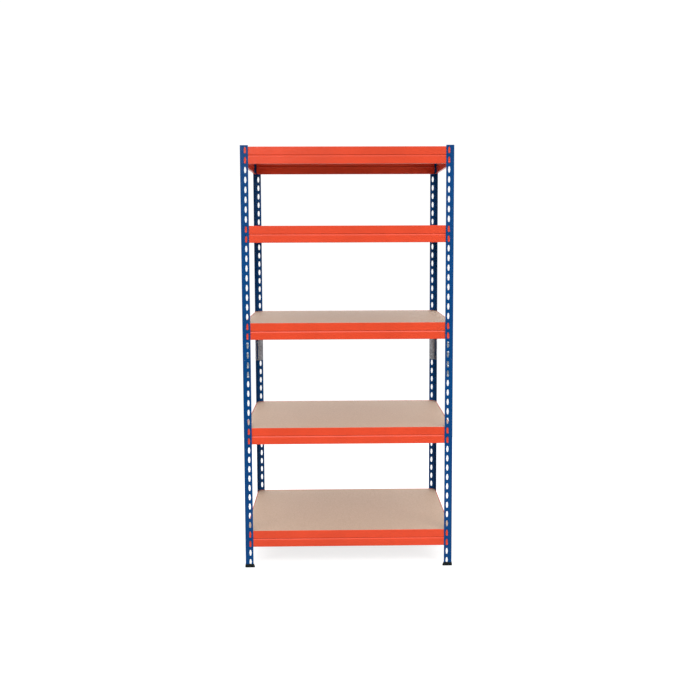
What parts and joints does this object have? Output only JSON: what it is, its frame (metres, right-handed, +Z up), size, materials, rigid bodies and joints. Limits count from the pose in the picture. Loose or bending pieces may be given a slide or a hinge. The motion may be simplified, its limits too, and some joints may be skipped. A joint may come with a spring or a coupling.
{
  "type": "boltless steel shelving",
  "caption": "Free-standing boltless rack: keyhole-slotted angle posts joined at mid-height, studded beams on every level and loose chipboard decks.",
  "frame": {"origin": "centre of the footprint, on the floor under the feet", "axes": "+Z up, +X to the right seen from the front, +Y towards the back; the front faces -Y"},
  "size_m": [0.8964, 0.6044, 1.8027],
  "materials": {
    "post_paint": "blue powder coat, semi-gloss with fine orange peel",
    "beam_paint": "orange-red powder coat, semi-gloss with fine orange peel",
    "zinc": "hot-dip galvanised sheet, dull spangle",
    "chipboard": "raw sanded chipboard, matt",
    "foot_plastic": "moulded black plastic, satin"
  },
  "bodies": {
    "frame": {"post_lower_front_left": "post_paint", "post_upper_front_left": "post_paint", "splice_front_left": "zinc", "foot_front_left": "foot_plastic", "post_lower_front_right": "post_paint", "post_upper_front_right": "post_paint", "splice_front_right": "zinc", "foot_front_right": "foot_plastic", "post_lower_rear_left": "post_paint", "post_upper_rear_left": "post_paint", "splice_rear_left": "zinc", "foot_rear_left": "foot_plastic", "post_lower_rear_right": "post_paint", "post_upper_rear_right": "post_paint", "splice_rear_right": "zinc", "foot_rear_right": "foot_plastic", "beam_front_level_1": "beam_paint", "beam_rear_level_1": "beam_paint", "beam_left_level_1": "beam_paint", "beam_right_level_1": "beam_paint", "beam_front_level_2": "beam_paint", "beam_rear_level_2": "beam_paint", "beam_left_level_2": "beam_paint", "beam_right_level_2": "beam_paint", "beam_front_level_3": "beam_paint", "beam_rear_level_3": "beam_paint", "beam_left_level_3": "beam_paint", "beam_right_level_3": "beam_paint", "beam_front_level_4": "beam_paint", "beam_rear_level_4": "beam_paint", "beam_left_level_4": "beam_paint", "beam_right_level_4": "beam_paint", "beam_front_level_5": "beam_paint", "beam_rear_level_5": "beam_paint", "beam_left_level_5": "beam_paint", "beam_right_level_5": "beam_paint"},
    "deck_1": {"deck_level_1": "chipboard"},
    "deck_2": {"deck_level_2": "chipboard"},
    "deck_3": {"deck_level_3": "chipboard"},
    "deck_4": {"deck_level_4": "chipboard"},
    "deck_5": {"deck_level_5": "chipboard"}
  },
  "joints": [
    {"name": "deck_1_lift", "type": "slide", "parent": "frame", "child": "deck_1", "axis": [0, 0, 1], "range_m": [0, 0.37]},
    {"name": "deck_2_lift", "type": "slide", "parent": "frame", "child": "deck_2", "axis": [0, 0, 1], "range_m": [0, 0.37]},
    {"name": "deck_3_lift", "type": "slide", "parent": "frame", "child": "deck_3", "axis": [0, 0, 1], "range_m": [0, 0.33]},
    {"name": "deck_4_lift", "type": "slide", "parent": "frame", "child": "deck_4", "axis": [0, 0, 1], "range_m": [0, 0.25]},
    {"name": "deck_5_lift", "type": "slide", "parent": "frame", "child": "deck_5", "axis": [0, 0, 1], "range_m": [0, 0.3]}
  ]
}
